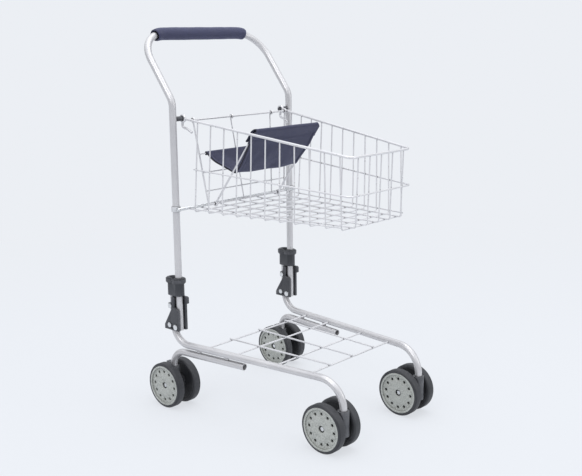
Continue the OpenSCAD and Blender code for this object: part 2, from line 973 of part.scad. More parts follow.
module seat_fabric() {
    count = len(cloth_line);
    normals = [
        for (i = [0 : count - 1])
            let (
                before = cloth_line[max(i - 1, 0)],
                after = cloth_line[min(i + 1, count - 1)],
                along = unit(after - before)
            )
            [-along.y, along.x]
    ];
    one_face = [for (i = [0 : count - 1]) cloth_line[i] + normals[i] * cloth_t / 2];
    other_face = [for (i = [count - 1 : -1 : 0]) cloth_line[i] - normals[i] * cloth_t / 2];
    color(navy) {
        in_place()
            intersection() {
                translate([0, cloth_front_w / 2, 0])
                    rotate([90, 0, 0])
                        linear_extrude(height = cloth_front_w)
                            polygon(concat(one_face, other_face));
                translate([0, 0, floor_height])
                    linear_extrude(height = bar_height - floor_height)
                        cloth_plan();
            }
        in_back()
            pocket();
    }
}

// Plan of the sling: wide at its front hem, narrower at the fold, narrowest between the legs
module cloth_plan() {
    front = rail_at.x - hem_r - cloth_t;
    wide = rail_at.x + hem_r;
    fold = fold_at.x - fold_r;
    legs = fold_at.x + fold_r;
    rear = back_end.x + cloth_t;
    half = [
        [front, cloth_front_w / 2],
        [wide, cloth_front_w / 2],
        [fold, cloth_fold_w / 2],
        [legs, cloth_back_w / 2],
        [rear, cloth_back_w / 2]
    ];
    polygon(concat(half, [for (i = [len(half) - 1 : -1 : 0]) [half[i].x, -half[i].y]]));
}

// Wheel housings: a hub on the axle and a socket for the tube, joined by a web
hub_r = 10;
hub_w = twin_gap - 2 * pass;
web_w = hub_w - 4;
tab_back = 6;

function pair_at(end) = end == "front"
    ? [stem_ahead - trail, -stem_gap / 2, wheel_r]
    : [-axle_back, -leg_y(-axle_back), wheel_r];

module housing(end, side, socket_ahead, bore_floor, fit) {
    at = pair_at(end);
    low = min(wheel_r - hub_r, bore_floor - socket_floor);
    color(grey)
        in_place()
            on_side(side)
                translate([at.x, at.y, 0])
                    difference() {
                        union() {
                            cross_bar([0, 0, wheel_r], 2 * hub_r, hub_w / 2);
                            translate([socket_ahead, 0, low])
                                cylinder(d = socket_d, h = socket_top - low);
                            translate([-hub_r / 2, -web_w / 2, wheel_r - hub_r / 2])
                                cube([socket_ahead + hub_r / 2, web_w, hub_r]);
                            if (end == "rear")
                                translate([-socket_d / 2 - tab_back, -web_w / 4, socket_top - 8])
                                    cube([socket_d / 2 + tab_back, web_w / 2, 8 + tab_back]);
                        }
                        translate([socket_ahead, 0, bore_floor])
                            cylinder(r = tube_r + fit, h = wheel_d);
                        cross_bar([0, 0, wheel_r], axle_d + 2 * touch, twin_gap);
                    }
}

module rear_housing(side) {
    housing("rear", side, 0, socket_top - leg_socket_depth - touch, touch);
}

module front_caster(side) {
    housing("front", side, trail, socket_top - socket_depth - pass, running);
}

// Axle: pressed through its housing, with a head in the recess of each wheel
wheel_web = wheel_w - 6;
axle_head_h = 2;
axle_head_d = axle_d + 1.5;

module axle(end, side) {
    at = pair_at(end);
    seat = twin_gap / 2 + wheel_web + pass;
    color(steel)
        in_place()
            on_side(side) {
                cross_bar(at, axle_d, seat);
                for (way = [-1, 1])
                    cross_bar([at.x, at.y + way * (seat + axle_head_h / 2), at.z], axle_head_d,
                        axle_head_h / 2);
            }
}

// A wheel is drawn about the Z axis, its outer face up, then stood in its place on the axle
module stand_wheel(end, side, face) {
    at = pair_at(end);
    way = face == "outer" ? -1 : 1;
    in_place()
        on_side(side)
            translate([at.x, at.y + way * twin_gap / 2, at.z])
                rotate([way == -1 ? 90 : -90, 0, 0])
                    children();
}

// Tyre and wheel body in one, with a shallow dish inside and a recess outside for the disc
tyre_chamfer = 2;
dish = 2;
dish_in = 12;
dish_out = 6;

module tyre(end, side, face) {
    bore = axle_r + running;
    seat = disc_d / 2 + touch;
    color(black)
        stand_wheel(end, side, face)
            rotate_extrude()
                polygon([
                    [bore, 0],
                    [dish_in, 0],
                    [dish_in, dish],
                    [wheel_r - dish_out, dish],
                    [wheel_r - dish_out, 0],
                    [wheel_r - tyre_chamfer, 0],
                    [wheel_r, tyre_chamfer],
                    [wheel_r, wheel_w - tyre_chamfer],
                    [wheel_r - tyre_chamfer, wheel_w],
                    [seat, wheel_w],
                    [seat, wheel_web],
                    [bore, wheel_web]
                ]);
}

// Disc: a plate with a raised rim, a hole for the axle's head and a ring of small holes
disc_rim = 3;
disc_face = 2;
disc_hub_r = axle_head_d / 2 + 2;
hole_circle = disc_d * 0.36;

module disc(end, side, face) {
    low = wheel_web + touch;
    rim_in = disc_d / 2 - disc_rim;
    web_top = wheel_w - disc_face;
    color(disc_grey)
        stand_wheel(end, side, face)
            difference() {
                rotate_extrude()
                    polygon([
                        [disc_hub_r, low],
                        [disc_d / 2, low],
                        [disc_d / 2, wheel_w],
                        [rim_in, wheel_w],
                        [rim_in, web_top],
                        [disc_hub_r, web_top]
                    ]);
                for (i = [0 : disc_holes - 1])
                    rotate([0, 0, 360 * i / disc_holes])
                        translate([hole_circle, 0, low - over])
                            cylinder(d = disc_hole_d, h = wheel_w);
            }
}

base_tube("right");  // base_tube_right
base_tube("left");  // base_tube_left
leg_tube("right");  // leg_tube_right
leg_tube("left");  // leg_tube_left
leg_weld_pads();
shelf_cross_wires();
shelf_long_wires();
hinge_cheeks("right");  // hinge_cheeks_right
hinge_cheeks("left");  // hinge_cheeks_left
cheek_rivets();
fold_pivots();
handle_tube();
grip_cover();
basket_pins();
rod_collars();
lock_sleeve("right");  // lock_sleeve_right
lock_sleeve("left");  // lock_sleeve_left
basket_rim();
basket_ring();
basket_cross_wires();
basket_long_wires();
basket_edge_wires();
basket_hinge_wire();
basket_rod();
gate_frame();
gate_uprights();
gate_cross_wires();
seat_back_wire();
seat_fabric();
rear_housing("right");  // rear_right_housing
rear_housing("left");  // rear_left_housing
front_caster("right");  // front_right_caster
front_caster("left");  // front_left_caster
for (end = ["rear", "front"], side = ["right", "left"]) {
    axle(end, side);
    for (face = ["outer", "inner"]) {
        tyre(end, side, face);
        disc(end, side, face);
    }
}
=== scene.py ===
import json
import math

import bmesh
import bpy
from mathutils import Matrix, Vector, noise


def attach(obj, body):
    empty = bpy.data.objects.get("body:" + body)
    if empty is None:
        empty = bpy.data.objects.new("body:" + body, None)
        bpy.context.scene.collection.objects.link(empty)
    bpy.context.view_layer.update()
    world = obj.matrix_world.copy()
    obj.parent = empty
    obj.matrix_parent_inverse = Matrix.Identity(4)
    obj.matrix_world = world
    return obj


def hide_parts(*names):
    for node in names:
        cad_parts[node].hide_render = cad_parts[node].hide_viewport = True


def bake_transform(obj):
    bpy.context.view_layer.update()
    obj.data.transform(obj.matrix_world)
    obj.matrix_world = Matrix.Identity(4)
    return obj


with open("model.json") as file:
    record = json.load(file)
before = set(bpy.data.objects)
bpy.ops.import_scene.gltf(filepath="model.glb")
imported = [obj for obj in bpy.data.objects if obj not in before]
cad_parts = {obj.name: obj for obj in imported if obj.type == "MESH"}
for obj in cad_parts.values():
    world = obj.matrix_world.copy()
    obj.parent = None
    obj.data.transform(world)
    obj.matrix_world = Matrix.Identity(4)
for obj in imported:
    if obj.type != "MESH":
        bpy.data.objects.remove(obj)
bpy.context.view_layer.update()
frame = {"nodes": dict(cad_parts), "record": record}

nodes = frame["nodes"]
scene = bpy.context.scene
scene.view_settings.view_transform = "Standard"

MM = 0.001
# The part's origin lies this far ahead of the uprights
CENTRE_X = 117.0


def place(x, y, z):
    """A point given in millimetres from the uprights, in the part's own frame."""
    return Vector(((x - CENTRE_X) * MM, y * MM, z * MM))


# Camera

IMAGE_W = 582
FOCAL_PX = 944.25
SENSOR = 36.0
CAMERA_AT = place(1107.7, -1075.9, 596.5)
CAMERA_TO = place(122.29, 0.0, 276.51)
CAMERA_ROLL = math.radians(-0.56)


def make_camera():
    data = bpy.data.cameras.new("camera")
    data.sensor_width = SENSOR
    data.lens = FOCAL_PX * SENSOR / IMAGE_W
    data.clip_end = 100.0
    camera = bpy.data.objects.new("camera", data)
    scene.collection.objects.link(camera)
    turn = (CAMERA_TO - CAMERA_AT).to_track_quat("-Z", "Y").to_matrix().to_4x4()
    camera.matrix_world = (
        Matrix.Translation(CAMERA_AT) @ turn @ Matrix.Rotation(CAMERA_ROLL, 4, "Z")
    )
    scene.camera = camera


make_camera()


# Small helpers for node materials


class Nodes:
    """A material's node tree, built a node at a time."""

    def __init__(self, name):
        self.material = bpy.data.materials.new(name)
        self.material.use_nodes = True
        self.tree = self.material.node_tree
        self.shader = self.tree.nodes["Principled BSDF"]
        self.output = self.tree.nodes["Material Output"]

    def add(self, kind, **inputs):
        node = self.tree.nodes.new(kind)
        for key, value in inputs.items():
            if key in node.inputs:
                self.feed(value, node.inputs[key])
            else:
                setattr(node, key, value)
        return node

    def feed(self, value, socket):
        if isinstance(value, bpy.types.NodeSocket):
            self.tree.links.new(value, socket)
        else:
            socket.default_value = value

    def set(self, **inputs):
        for key, value in inputs.items():
            self.feed(value, self.shader.inputs[key.replace("_", " ")])

    def place(self):
        return self.add("ShaderNodeTexCoord").outputs["Object"]

    def noise(self, scale, detail=3.0, rough=0.55, vector=None):
        node = self.add("ShaderNodeTexNoise", Scale=scale, Detail=detail, Roughness=rough)
        self.feed(vector or self.place(), node.inputs["Vector"])
        return node.outputs["Fac"]

    def ramp(self, fac, low, high, start=0.0, end=1.0):
        node = self.add("ShaderNodeMapRange")
        self.feed(fac, node.inputs["Value"])
        self.feed(start, node.inputs["From Min"])
        self.feed(end, node.inputs["From Max"])
        self.feed(low, node.inputs["To Min"])
        self.feed(high, node.inputs["To Max"])
        return node.outputs["Result"]

    def mix(self, fac, a, b):
        node = self.add("ShaderNodeMix", data_type="RGBA")
        self.feed(fac, node.inputs[0])
        for socket, value in ((node.inputs[6], a), (node.inputs[7], b)):
            self.feed((*value, 1.0) if isinstance(value, tuple) else value, socket)
        return node.outputs[2]

    def maths(self, operation, a, b=0.0):
        node = self.add("ShaderNodeMath")
        node.operation = operation
        self.feed(a, node.inputs[0])
        self.feed(b, node.inputs[1])
        return node.outputs[0]

    def shelter(self, reach):
        """How closed in the surface is: 0 in the open, 1 in a hole or a narrow gap; the mask for
        painted shade.
        """
        node = self.add("ShaderNodeAmbientOcclusion", Distance=reach, samples=8)
        return self.ramp(node.outputs["AO"], 1.0, 0.0, 0.3, 0.8)

    def bump(self, height, strength, distance):
        node = self.add("ShaderNodeBump", Strength=strength, Distance=distance)
        self.feed(height, node.inputs["Height"])
        return node.outputs["Normal"]


# Painted shade: holes and narrow gaps darken to this colour, where other surfaces are within these
# reaches in metres
PAINTED_SHADE = (0.02, 0.02, 0.023)
METAL_REACH = 0.006
PLASTIC_REACH = 0.004


def coated_metal(name, colour, dull, rough, metallic):
    """Silver coat on steel: a faintly cloudy tone and gloss, with painted shade in narrow gaps."""
    m = Nodes(name)
    cloud = m.noise(25.0, 3.0)
    fine = m.noise(160.0, 2.0)
    tone = m.mix(m.ramp(cloud, 0.0, 1.0, 0.35, 0.7), colour, dull)
    m.set(
        # Painted shade darkens the colour in narrow gaps
        Base_Color=m.mix(m.shelter(METAL_REACH), tone, PAINTED_SHADE),
        Metallic=metallic,
        Roughness=m.ramp(fine, rough - 0.03, rough + 0.05, 0.3, 0.7),
    )
    return m.material


# Noise scale of the flecks in some plastics, which are under 2 mm across
FLECKS = 620.0


def moulded(name, colour, worn, rough, grain=900.0, depth=0.12, fleck=0.0):
    """Moulded plastic: fine grain, uneven gloss, painted shade in holes and gaps, and edges that rub a
    little paler.

    fleck is the share by which flecks are darker or lighter than the colour.
    """
    m = Nodes(name)
    cloud = m.noise(60.0, 3.0)
    pits = m.noise(grain, 2.0, 0.6)
    edge = m.ramp(m.add("ShaderNodeNewGeometry").outputs["Pointiness"], 0.0, 1.0, 0.505, 0.56)
    rub = m.maths("MULTIPLY", edge, m.ramp(cloud, 0.2, 1.0, 0.3, 0.7))
    tone = colour
    if fleck:
        dark, light = (tuple(k * c for c in colour) for k in (1.0 - fleck, 1.0 + fleck))
        tone = m.mix(m.ramp(m.noise(FLECKS, 2.0), 0.0, 1.0, 0.38, 0.62), dark, light)
    m.set(
        # Painted shade darkens the colour in holes and narrow gaps
        Base_Color=m.mix(m.shelter(PLASTIC_REACH), m.mix(rub, tone, worn), PAINTED_SHADE),
        Roughness=m.ramp(cloud, rough - 0.05, rough + 0.08, 0.3, 0.7),
        Normal=m.bump(pits, depth, 0.0003),
    )
    return m.material


# Colour of the painted shade on the cloth's sideways-facing edges, and the width of a thread in its
# weave
PAINTED_EDGE_SHADE = (0.006, 0.006, 0.010)
THREAD_W = 0.8


def woven(name, dark, light):
    """Plain weave of two sets of threads, which run along the piece's own cloth coordinates.

    Edges that face sideways are painted darker, as painted shade.
    """
    m = Nodes(name)
    # Faces turned sideways get painted shade, by the direction they face
    facing = m.add("ShaderNodeNewGeometry").outputs["True Normal"]
    sideways = m.maths("ABSOLUTE", m.add("ShaderNodeSeparateXYZ", Vector=facing).outputs["Y"])
    edge_shade_mask = m.ramp(sideways, 0.0, 1.0, 0.5, 0.75)
    weave = m.add("ShaderNodeUVMap", uv_map="cloth").outputs["UV"]
    split = m.add("ShaderNodeSeparateXYZ", Vector=weave)
    pitch = math.pi / (THREAD_W * MM)
    warp = m.maths("SINE", m.maths("MULTIPLY", split.outputs["X"], pitch))
    weft = m.maths("SINE", m.maths("MULTIPLY", split.outputs["Y"], pitch))
    over = m.maths("MULTIPLY", warp, weft)
    height = m.ramp(over, 0.0, 1.0, -1.0, 1.0)
    slub = m.noise(90.0, 4.0, 0.65)
    fuzz = m.noise(1500.0, 2.0)
    shade = m.maths("MULTIPLY", m.ramp(height, 0.55, 1.0), m.ramp(slub, 0.6, 1.1, 0.3, 0.7))
    rough_height = m.maths("ADD", height, m.maths("MULTIPLY", fuzz, 0.5))
    m.set(
        # Painted shade darkens the sideways-facing edges
        Base_Color=m.mix(edge_shade_mask, m.mix(shade, dark, light), PAINTED_EDGE_SHADE),
        Roughness=m.ramp(slub, 0.72, 0.92, 0.3, 0.7),
        Normal=m.bump(rough_height, 0.5, 0.0004),
        Sheen_Weight=0.35,
        Sheen_Roughness=0.45,
        Sheen_Tint=(0.55, 0.58, 0.80, 1.0),
    )
    return m.material


tube_paint = coated_metal("tube_paint", (0.63, 0.62, 0.625), (0.57, 0.56, 0.57), 0.36, 0.50)
wire_paint = coated_metal("wire_paint", (0.74, 0.73, 0.74), (0.66, 0.655, 0.67), 0.30, 0.50)
bright_steel = coated_metal("bright_steel", (0.74, 0.75, 0.76), (0.62, 0.63, 0.64), 0.26, 0.90)
black_plastic = moulded("black_plastic", (0.030, 0.032, 0.038), (0.10, 0.10, 0.11), 0.42)
grey_plastic = moulded("grey_plastic", (0.055, 0.058, 0.064), (0.14, 0.14, 0.15), 0.40)
pale_plastic = moulded("pale_plastic", (0.56, 0.56, 0.57), (0.64, 0.64, 0.65), 0.45)
disc_plastic = moulded(
    "disc_plastic", (0.365, 0.375, 0.345), (0.48, 0.49, 0.46), 0.40, 700.0, 0.06, 0.28
)
tyre_rubber = moulded("tyre_rubber", (0.019, 0.020, 0.023), (0.08, 0.08, 0.09), 0.50, 500.0, 0.15)
seat_cloth = woven("seat_cloth", (0.018, 0.019, 0.041), (0.040, 0.041, 0.080))
grip_cloth = woven("grip_cloth", (0.023, 0.025, 0.057), (0.052, 0.054, 0.110))
thread = coated_metal("thread", (0.045, 0.048, 0.105), (0.030, 0.032, 0.08), 0.75, 0.0)

SLOT_MATERIALS = {
    "frame_tube": tube_paint,
    "wire": wire_paint,
    "bright_steel": bright_steel,
    "black_plastic": black_plastic,
    "grey_plastic": grey_plastic,
    "pale_plastic": pale_plastic,
    "disc_plastic": disc_plastic,
    "tyre_rubber": tyre_rubber,
    "seat_cloth": seat_cloth,
    "grip_cloth": grip_cloth,
}

# CAD nodes keep their shapes; some get a small rounding on their edges, in millimetres
ROUNDED = {
    "black_plastic": 0.5,
    "grey_plastic": 0.6,
    "pale_plastic": 0.3,
    "disc_plastic": 0.3,
    "tyre_rubber": 0.6,
    "bright_steel": 0.25,
}
node_slot = {s["node"]: s["material_slot"] for s in frame["record"]["subparts"]}


def finish_node(name, obj):
    slot = node_slot[name]
    obj.data.materials.clear()
    obj.data.materials.append(SLOT_MATERIALS[slot])
    for polygon in obj.data.polygons:
        polygon.use_smooth = True
    if slot in ROUNDED:
        weld = obj.modifiers.new("weld", "WELD")
        weld.merge_threshold = 1e-6
        bevel = obj.modifiers.new("bevel", "BEVEL")
        bevel.width = ROUNDED[slot] * MM
        bevel.segments = 2
        bevel.limit_method = "ANGLE"
        bevel.angle_limit = math.radians(40)
        bevel.harden_normals = True


for node_name, node_object in nodes.items():
    finish_node(node_name, node_object)


# Mesh helpers


def new_mesh(name, points, faces, material, uv=None):
    mesh = bpy.data.meshes.new(name)
    mesh.from_pydata([tuple(p) for p in points], [], faces)
    mesh.update()
    for polygon in mesh.polygons:
        polygon.use_smooth = True
    if uv:
        layer = mesh.uv_layers.new(name="cloth")
        for loop in mesh.loops:
            layer.data[loop.index].uv = uv[loop.vertex_index]
    mesh.materials.append(material)
    obj = bpy.data.objects.new(name, mesh)
    scene.collection.objects.link(obj)
    return obj


def face_out(obj, weld=None):
    """Turn all faces outwards, after joining points closer than weld."""
    mesh = bmesh.new()
    mesh.from_mesh(obj.data)
    if weld:
        bmesh.ops.remove_doubles(mesh, verts=mesh.verts, dist=weld)
    bmesh.ops.recalc_face_normals(mesh, faces=mesh.faces)
    mesh.to_mesh(obj.data)
    mesh.free()


# Grip cover: a padded sleeve sewn round the push bar, loose at its two open ends

BAR_BACK = 76.0
BAR_HEIGHT = 594.0
LEAN_HEIGHT = 493.0
SIDE_Y = 130.5
BAR_BEND = 50.0
GRIP_TURN = math.radians(21.0)
GRIP_R = 10.0
GRIP_BORE = 6.0
LEAN = (Vector((0, 0, LEAN_HEIGHT)) - Vector((-BAR_BACK, 0, BAR_HEIGHT))).normalized()
GRIP_HALF = SIDE_Y - BAR_BEND
GRIP_REACH = GRIP_HALF + BAR_BEND * GRIP_TURN
# Inset and radius of the points where the cover turns in at its ends
GRIP_MOUTH = [(9.0, GRIP_BORE), (4.0, 6.3), (1.4, 7.0), (0.3, 7.9)]
SEAM_AT = math.radians(250)
PLEATS = 9


def grip_line(s):
    """Point and heading on the push bar's axis, s millimetres from its middle, in millimetres."""
    way = 1.0 if s >= 0 else -1.0
    past = abs(s) - GRIP_HALF
    out = Vector((0, way, 0))
    if past <= 0:
        return Vector((-BAR_BACK, s, BAR_HEIGHT)), Vector((0, 1, 0))
    turn = past / BAR_BEND
    centre = Vector((-BAR_BACK, way * GRIP_HALF, BAR_HEIGHT)) + BAR_BEND * LEAN
    at = centre + BAR_BEND * (out * math.sin(turn) - LEAN * math.cos(turn))
    heading = out * math.cos(turn) + LEAN * math.sin(turn)
    return at, heading * way


def grip_profile():
    """Place along the cover, radius and whether it is the outside, from inside one end to the other."""
    steps = 96
    profile = [(-GRIP_REACH + inset, radius, False) for inset, radius in GRIP_MOUTH]
    for i in range(steps + 1):
        s = -GRIP_REACH + 2 * GRIP_REACH * i / steps
        crown = GRIP_R - 0.25 + 0.30 * math.cos(s / GRIP_REACH * math.pi / 2)
        lip = 1.5 * math.exp(-(GRIP_REACH - abs(s)) / 1.6)
        profile.append((s, crown - lip, True))
    profile += [(GRIP_REACH - inset, radius, False) for inset, radius in reversed(GRIP_MOUTH)]
    return profile


def grip_relief(s, angle):
    """What the seam, its two ridges, the creases and the end pleats add to the cover's radius."""
    gap = math.atan2(math.sin(angle - SEAM_AT), math.cos(angle - SEAM_AT))
    seam = 0.18 * math.exp(-(((abs(gap) - 0.24) / 0.10) ** 2)) - 0.55 * math.exp(-((gap / 0.09) ** 2))
    spot = Vector((s * 0.05, math.cos(angle) * 0.9, math.sin(angle) * 0.9))
    crease = 0.28 * noise.noise(spot) + 0.10 * noise.noise(spot * 2.7)
    pleat = 0.25 * math.exp(-(GRIP_REACH - abs(s)) / 8.0) * math.sin(angle * PLEATS)
    return seam + crease + pleat


def build_grip():
    around = 64
    side = LEAN.cross(Vector((0, 1, 0))).normalized()
    profile = grip_profile()
    points, uv, faces = [], [], []
    for s, radius, outside in profile:
        at, heading = grip_line(s)
        up = side.cross(heading).normalized()
        for j in range(around + 1):
            angle = 2 * math.pi * j / around
            r = radius + grip_relief(s, angle) if outside else radius
            offset = (side * math.cos(angle) + up * math.sin(angle)) * r
            points.append(place(*(at + offset)))
            uv.append((s * MM, angle * GRIP_R * MM))
    row = around + 1
    for i in range(len(profile) - 1):
        for j in range(around):
            a = i * row + j
            faces.append((a, a + 1, a + 1 + row, a + row))
    grip = new_mesh("grip_cloth", points, faces, grip_cloth, uv)
    face_out(grip, 1e-6)
    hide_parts("grip_cover")
    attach(grip, "upper_frame")


build_grip()


# Seat: a sling hemmed round the gate's rail, and a pocket over the top of the backrest wire

# Rail and lower wire of the gate and the sling's fold, in the side view in millimetres
RAIL = Vector((22.534, 411.793))
FOLD = RAIL + Vector((46.5, -28.0))
GATE_LOW = Vector((27.545, 330.915))
BACK_LEAN = math.radians(36.7)
BACK_UP = Vector((math.sin(BACK_LEAN), math.cos(BACK_LEAN)))
BACK_OUT = Vector((math.cos(BACK_LEAN), -math.sin(BACK_LEAN)))
BACK_H = 149.0
HEM_R = 2.4
FOLD_R = 6.0
HEM_OPEN = math.radians(75)
PAN_SAG = 5.0
CLOTH_T = 1.3
FRONT_HALF, FOLD_HALF, BACK_HALF = 85.0, 68.8, 72.5
POCKET_LOW, POCKET_TOP = 127.0, 152.2
POCKET_HALF, POCKET_CORNER = 75.4, 5.5
POCKET_R = 2.6
STITCH_INSET = 6.2
RIGHT = math.pi / 2


def polar(centre, radius, angle):
    return centre + radius * Vector((math.cos(angle), math.sin(angle)))


def on_back(up, out):
    """Point of the side view, measured up along the backrest and out in front of it."""
    return GATE_LOW + BACK_UP * up + BACK_OUT * out


def ease(share):
    share = min(max(share, 0.0), 1.0)
    return share * share * (3 - 2 * share)


class Strip:
    """A strip of cloth along a line of the side view, in millimetres.

    line holds the points of its middle, half its half width at each of them and loose how freely
    it moves there. roll is how much thicker the cloth is along its sides.
    """

    COLUMNS = 73

    def __init__(self, line, half, loose, roll, seed):
        self.line, self.half, self.loose, self.roll, self.seed = line, half, loose, roll, seed
        self.rows = len(line)
        self.run = [0.0]
        for a, b in zip(line, line[1:]):
            self.run.append(self.run[-1] + (b - a).length)
        self.normal = []
        for i in range(self.rows):
            along = line[min(i + 1, self.rows - 1)] - line[max(i - 1, 0)]
            self.normal.append(Vector((-along.y, along.x)).normalized())

    def sag(self, i, u):
        """How far the cloth hangs at a share u of its half width."""
        return 0.0

    def hem(self, i):
        """Half of what a hem across the strip adds to its thickness."""
        return 0.0

    def middle(self, i, y):
        """Point in the middle of the cloth, with its uneven waves."""
        spot = Vector((self.run[i] * 0.020, y * 0.030, self.seed))
        wave = 1.5 * noise.noise(spot) + 0.55 * noise.noise(spot * 2.6 + Vector((3, 1, 0)))
        at = self.line[i] + self.normal[i] * self.loose[i] * (wave - self.sag(i, y / self.half[i]))
        return Vector((at.x, y, at.y))

    def thick(self, i, y):
        """Half thickness: a rolled hem along each side, pressed in along its stitches."""
        edge = self.half[i] - abs(y)
        half = CLOTH_T / 2 + self.hem(i)
        if edge < 5.0:
            half += self.roll * math.sqrt(max(1 - ((edge - 2.2) / 2.9) ** 2, 0.0))
        return half - 0.2 * self.roll * math.exp(-(((edge - STITCH_INSET) / 0.8) ** 2))

    def face(self, i, y, side):
        n = self.normal[i]
        return self.middle(i, y) + Vector((n.x, 0, n.y)) * side * self.thick(i, y)

    def across(self, j, i):
        """Columns lie closer together towards the sides."""
        return self.half[i] * math.sin(RIGHT * (2 * j / (self.COLUMNS - 1) - 1))

    def row_at(self, run):
        """Row before a place along the strip, and the share of the way to the next row."""
        for i in range(self.rows - 1):
            if self.run[i + 1] >= run:
                return i, (run - self.run[i]) / (self.run[i + 1] - self.run[i])
        return self.rows - 2, 1.0

    def near_side(self, run, inset, way, side):
        """Point of a face at a place along the strip, inset from one of its sides."""
        i, share = self.row_at(run)
        ends = [self.face(r, way * (self.half[r] - inset), side) for r in (i, i + 1)]
        return ends[0].lerp(ends[1], share)

    def area(self):
        pairs = zip(self.run, self.run[1:], self.half, self.half[1:])
        return sum((end - start) * (a + b) for start, end, a, b in pairs)

    def build(self, name, material):
        columns, grid = self.COLUMNS, {}
        points, uv, faces = [], [], []
        for side in (1, -1):
            for i in range(self.rows):
                for j in range(columns):
                    y = self.across(j, i)
                    grid[side, i, j] = len(points)
                    points.append(place(*self.face(i, y, side)))
                    uv.append((self.run[i] * MM, y * MM))
        for i in range(self.rows - 1):
            for j in range(columns - 1):
                corners = ((i, j), (i, j + 1), (i + 1, j + 1), (i + 1, j))
                for side in (1, -1):
                    faces.append(tuple(grid[side, a, b] for a, b in corners[::side]))
            for j in (0, columns - 1):
                faces.append((grid[1, i, j], grid[1, i + 1, j], grid[-1, i + 1, j], grid[-1, i, j]))
        for i in (0, self.rows - 1):
            for j in range(columns - 1):
                faces.append((grid[1, i, j], grid[1, i, j + 1], grid[-1, i, j + 1], grid[-1, i, j]))
        cloth = new_mesh(name, points, faces, material, uv)
        face_out(cloth)
        return cloth


class Sling(Strip):
    """Passes between the legs of the backrest ahead of its fold, then runs up in front of them.

    It laps under the pocket by LAP, is narrow enough for the legs LEGS ahead of its fold and
    stands off the backrest by BULGE half way up.
    """

    HEM_ROWS = 25
    PAN_ROWS = 24
    FOLD_ROWS = 12
    BACK_ROWS = 36
    LAP = 7.0
    LEGS = 12.0
    BULGE = 1.2

    def __init__(self):
        pan = math.atan2(FOLD.y - RAIL.y, FOLD.x - RAIL.x)
        top = on_back(POCKET_LOW + self.LAP, POCKET_R)
        back = math.atan2(top.y - FOLD.y, top.x - FOLD.x)
        line = []
        for i in range(self.HEM_ROWS):
            turn = (2 * math.pi - HEM_OPEN) * (1 - i / (self.HEM_ROWS - 1))
            line.append(polar(RAIL, HEM_R, pan + RIGHT + turn))
        leave, centre = line[-1], FOLD + Vector((0, FOLD_R))
        enter = polar(centre, FOLD_R, pan - RIGHT)
        for i in range(1, self.PAN_ROWS):
            share = i / self.PAN_ROWS
            line.append(leave.lerp(enter, share) - Vector((0, 4 * PAN_SAG * share * (1 - share))))
        for i in range(self.FOLD_ROWS + 1):
            line.append(polar(centre, FOLD_R, pan - RIGHT + (back - pan) * i / self.FOLD_ROWS))
        start, half = line[-1], []
        for at in line:
            narrow = ease((at.x - RAIL.x - HEM_R) / (FOLD.x - self.LEGS - RAIL.x - HEM_R))
            half.append(FRONT_HALF + (FOLD_HALF - FRONT_HALF) * narrow)
        for i in range(1, self.BACK_ROWS + 1):
            share = i / self.BACK_ROWS
            line.append(start.lerp(top, share) + BACK_OUT * self.BULGE * math.sin(math.pi * share))
            half.append(FOLD_HALF + (BACK_HALF - FOLD_HALF) * ease((share - 0.12) / 0.75))
        super().__init__(line, half, [0.0] * len(line), 1.0, 4.1)
        first, last = self.run[self.HEM_ROWS - 1], self.run[-1] - self.LAP
        self.loose = [ease(min(r - first, last - r) / 18.0) for r in self.run]
        self.first, self.last = first, last

    def sag(self, i, u):
        pull = self.run[i] - self.first
        crease = math.sin(u * 15 + pull * 0.05) * math.exp(-(((pull - 22) / 16) ** 2))
        hang = 2.2 * math.sin(math.pi * min(max(pull / 130.0, 0.0), 1.0))
        return (1 - u * u) * (hang - 0.45 * crease)

    def thick(self, i, y):
        return super().thick(i, y) if self.run[i] > self.first else CLOTH_T / 2


class Pocket(Strip):
    """Runs up in front of the backrest wire, round its top and down behind it."""

    RISE_ROWS = 20
    TOP_ROWS = 16

    def __init__(self):
        rows = range(self.RISE_ROWS + 1)
        rise = [POCKET_LOW + (BACK_H - POCKET_LOW) * i / self.RISE_ROWS for i in rows]
        line = [on_back(up, POCKET_R) for up in rise]
        ups = list(rise)
        for i in range(1, self.TOP_ROWS):
            turn = math.pi * i / self.TOP_ROWS
            ups.append(BACK_H + POCKET_R * math.sin(turn))
            line.append(on_back(ups[-1], POCKET_R * math.cos(turn)))
        line += [on_back(up, -POCKET_R) for up in reversed(rise)]
        ups += reversed(rise)
        half = [POCKET_HALF - max(up - POCKET_TOP + POCKET_CORNER, 0.0) for up in ups]
        super().__init__(line, half, [0.25] * len(line), 0.15, 9.7)
        self.last = self.run[-1]

    def hem(self, i):
        edge = min(self.run[i], self.last - self.run[i])
        return 0.45 * math.exp(-(((edge - 1.6) / 1.8) ** 4))


